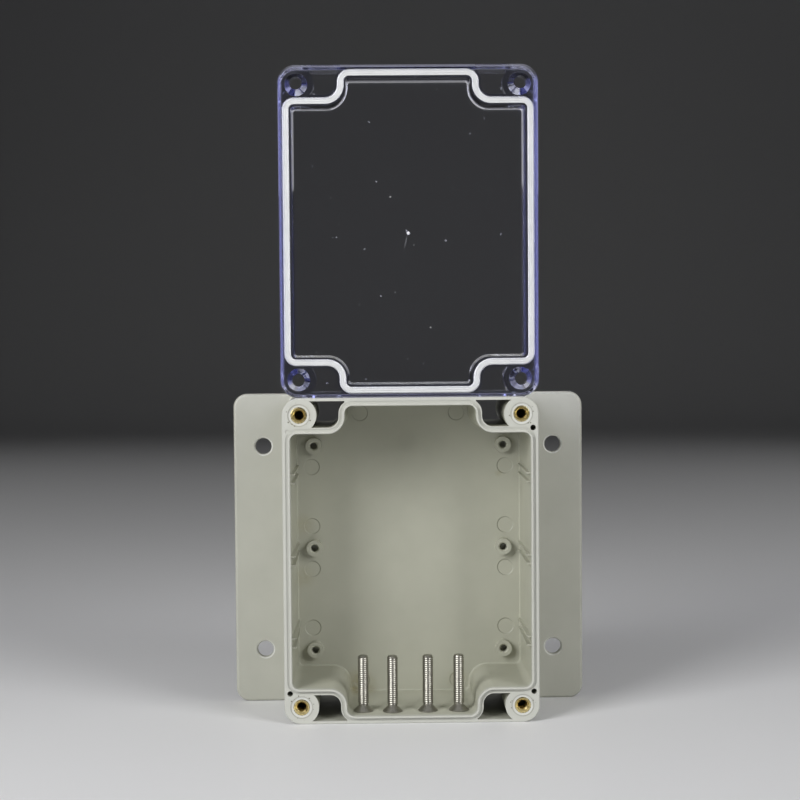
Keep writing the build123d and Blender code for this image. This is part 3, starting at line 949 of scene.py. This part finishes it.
def stage_floor():
    """Pale floor that curves up into a backdrop far behind the box."""
    line = [(STUDIO_FRONT, 0.0), (STUDIO_BEND_START, 0.0)]
    for step in range(1, STUDIO_BEND_STEPS + 1):
        angle = pi / 2 * step / STUDIO_BEND_STEPS
        line.append((STUDIO_BEND_START + STUDIO_BEND_R * sin(angle), STUDIO_BEND_R * (1 - cos(angle))))
    line.append((STUDIO_BEND_START + STUDIO_BEND_R, STUDIO_TOP))
    points = [(x, y, z) for x in (-STUDIO_HALF_WIDTH, STUDIO_HALF_WIDTH) for y, z in line]
    count = len(line)
    faces = [(i, i + 1, count + i + 1, count + i) for i in range(count - 1)]
    mesh = bpy.data.meshes.new("studio_floor")
    mesh.from_pydata(points, [], faces)
    mesh.shade_smooth()
    floor = bpy.data.objects.new("studio_floor", mesh)
    bpy.context.scene.collection.objects.link(floor)
    made, _, shader, _ = material("pale_floor")
    shader.inputs["Base Color"].default_value = STUDIO_COLOUR
    shader.inputs["Roughness"].default_value = STUDIO_ROUGHNESS
    dress(floor, made)


def around(turn, rise, distance):
    """Place at a turn from straight in front of the box and a rise above it, both in degrees."""
    turn, rise = radians(turn), radians(rise)
    level = distance * cos(rise)
    return LIGHT_TARGET + Vector((level * sin(turn), -level * cos(turn), distance * sin(rise)))


def area_light(name, place, size, power, beam):
    """Rectangular soft light aimed at the box, with its beam narrowed to an angle."""
    data = bpy.data.lights.new(name, "AREA")
    data.shape = "RECTANGLE"
    data.size, data.size_y = size
    data.energy = power
    data.spread = beam
    light = bpy.data.objects.new(name, data)
    bpy.context.scene.collection.objects.link(light)
    light.location = place
    light.rotation_euler = (LIGHT_TARGET - light.location).to_track_quat("-Z", "Y").to_euler()
    light.visible_camera = False


def lights():
    """A soft box each side of the camera, a weak one overhead and three behind, in a dim studio."""
    for name, turn, rise, distance, size, power, beam in SOFT_BOXES:
        area_light(name, around(turn, rise, distance), size, power, radians(beam))
    world = bpy.data.worlds.new("studio")
    bpy.context.scene.world = world
    world.use_nodes = True
    background = world.node_tree.nodes["Background"]
    background.inputs["Color"].default_value = WORLD_COLOUR
    background.inputs["Strength"].default_value = WORLD_STRENGTH


def camera():
    """The photograph's viewpoint."""
    data = bpy.data.cameras.new("camera")
    data.sensor_width = SENSOR
    data.lens = FOCAL_PIXELS / IMAGE_SIDE * SENSOR
    data.clip_start, data.clip_end = CAMERA_CLIP
    cam = bpy.data.objects.new("camera", data)
    bpy.context.scene.collection.objects.link(cam)
    cam.location = CAMERA_PLACE
    level = cos(CAMERA_DROP)
    forward = Vector((sin(CAMERA_YAW) * level, cos(CAMERA_YAW) * level, -sin(CAMERA_DROP)))
    aim = forward.to_track_quat("-Z", "Y").to_matrix() @ Matrix.Rotation(CAMERA_ROLL, 3, "Z")
    cam.rotation_euler = aim.to_euler()
    bpy.context.scene.camera = cam


GREY = shell_plastic()
CLEAR = clear_plastic()
RUBBER = white_rubber()
BRASS = turned_brass()
STEEL = bright_steel()

dress(NODES["base_shell"], GREY)
dress(NODES["clear_cover"], CLEAR)
standing_screws(STEEL)
post_inserts(BRASS)
cover_gasket(RUBBER)

stage_floor()
lights()
camera()
bpy.context.scene.view_settings.view_transform = "Standard"
